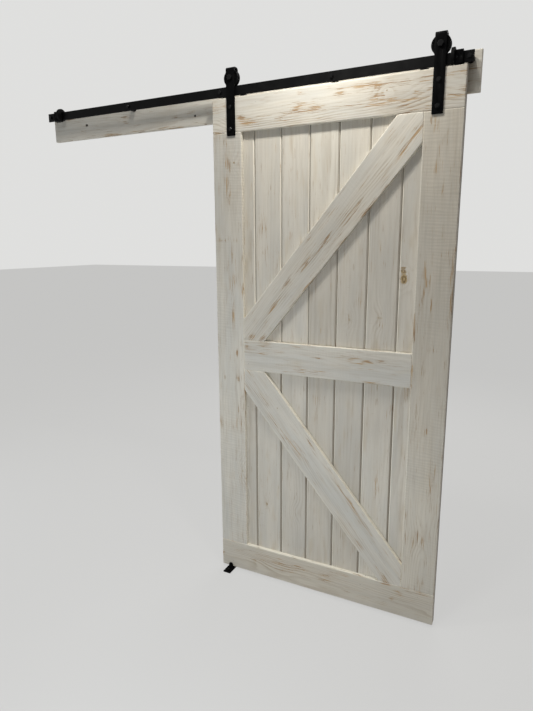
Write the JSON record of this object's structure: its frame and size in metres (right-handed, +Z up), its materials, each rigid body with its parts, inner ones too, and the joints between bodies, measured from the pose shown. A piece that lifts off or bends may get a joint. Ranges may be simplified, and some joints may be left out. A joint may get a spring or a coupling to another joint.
{
  "type": "sliding barn door",
  "caption": "Top-hung sliding plank door with rails, stiles and diagonal braces on strap rollers, with its flat track, header board, end stops and floor guide.",
  "frame": {"origin": "centre of the header board's back face, where it meets the wall", "axes": "+X along the track towards the side where the door is parked, +Y into the wall, +Z up"},
  "size_m": [2.0704, 0.154, 2.355],
  "materials": {
    "frame_wood": "rubbed whitewash",
    "panel_wood": "thin whitewash",
    "header_wood": "rubbed whitewash",
    "black_steel": "matte powder coat",
    "rubber": "matte",
    "black_nylon": "matte",
    "bearing_steel": "ground"
  },
  "bodies": {
    "frame": {"header_board": "header_wood", "header_screws": "black_steel", "track_bar": "black_steel", "track_spacer_1": "black_steel", "track_spacer_2": "black_steel", "track_spacer_3": "black_steel", "track_spacer_4": "black_steel", "track_spacer_5": "black_steel", "track_lag_screws": "black_steel", "stop_block_left": "black_steel", "stop_block_right": "black_steel", "stop_bumper_left": "rubber", "stop_bumper_right": "rubber", "stop_set_screws": "black_steel", "guide_base": "black_steel", "guide_front_bracket": "black_steel", "guide_adjuster_bolt": "black_steel", "guide_floor_screws": "black_steel"},
    "door": {"anti_jump_disc_left": "black_nylon", "anti_jump_disc_right": "black_nylon", "anti_jump_screws": "black_steel", "axle_bolt_left": "black_steel", "axle_bolt_right": "black_steel", "axle_nuts": "black_steel", "axle_sleeves": "black_steel", "bearing_inner_left": "bearing_steel", "bearing_inner_right": "bearing_steel", "bottom_rail": "frame_wood", "hanger_strap_left": "black_steel", "hanger_strap_right": "black_steel", "left_stile": "frame_wood", "lower_brace": "frame_wood", "mid_rail": "frame_wood", "panel_board_1": "panel_wood", "panel_board_2": "panel_wood", "panel_board_3": "panel_wood", "panel_board_4": "panel_wood", "panel_board_5": "panel_wood", "panel_board_6": "panel_wood", "panel_board_7": "panel_wood", "panel_board_8": "panel_wood", "panel_board_9": "panel_wood", "right_stile": "frame_wood", "strap_bolts": "black_steel", "strap_cap_nuts": "black_steel", "strap_washers": "black_steel", "top_rail": "frame_wood", "upper_brace": "frame_wood"},
    "roller_left": {"wheel_left": "black_nylon", "bearing_outer_left": "bearing_steel", "bearing_shields_left": "bearing_steel"},
    "roller_right": {"wheel_right": "black_nylon", "bearing_outer_right": "bearing_steel", "bearing_shields_right": "bearing_steel"},
    "ball_train_left": {"bearing_balls_left": "bearing_steel", "bearing_cage_left": "bearing_steel"},
    "ball_train_right": {"bearing_balls_right": "bearing_steel", "bearing_cage_right": "bearing_steel"}
  },
  "joints": [
    {"name": "door_slide", "type": "slide", "parent": "frame", "child": "door", "axis": [1, 0, 0], "range_m": [-0.955, 0.005]},
    {"name": "wheel_left_spin", "type": "hinge", "parent": "door", "child": "roller_left", "pos_m": [0.052, -0.06, 0.0883], "axis": [0, 1, 0], "continuous": true},
    {"name": "wheel_right_spin", "type": "hinge", "parent": "door", "child": "roller_right", "pos_m": [0.902, -0.06, 0.0883], "axis": [0, 1, 0], "continuous": true},
    {"name": "ball_train_left_spin", "type": "hinge", "parent": "door", "child": "ball_train_left", "pos_m": [0.052, -0.06, 0.0883], "axis": [0, 1, 0], "continuous": true},
    {"name": "ball_train_right_spin", "type": "hinge", "parent": "door", "child": "ball_train_right", "pos_m": [0.902, -0.06, 0.0883], "axis": [0, 1, 0], "continuous": true}
  ],
  "couplings": [
    {"joint": "wheel_left_spin", "follows": "door_slide", "rad_per_m": 33.333},
    {"joint": "wheel_right_spin", "follows": "door_slide", "rad_per_m": 33.333},
    {"joint": "ball_train_left_spin", "follows": "door_slide", "rad_per_m": 21.151},
    {"joint": "ball_train_right_spin", "follows": "door_slide", "rad_per_m": 21.151}
  ]
}
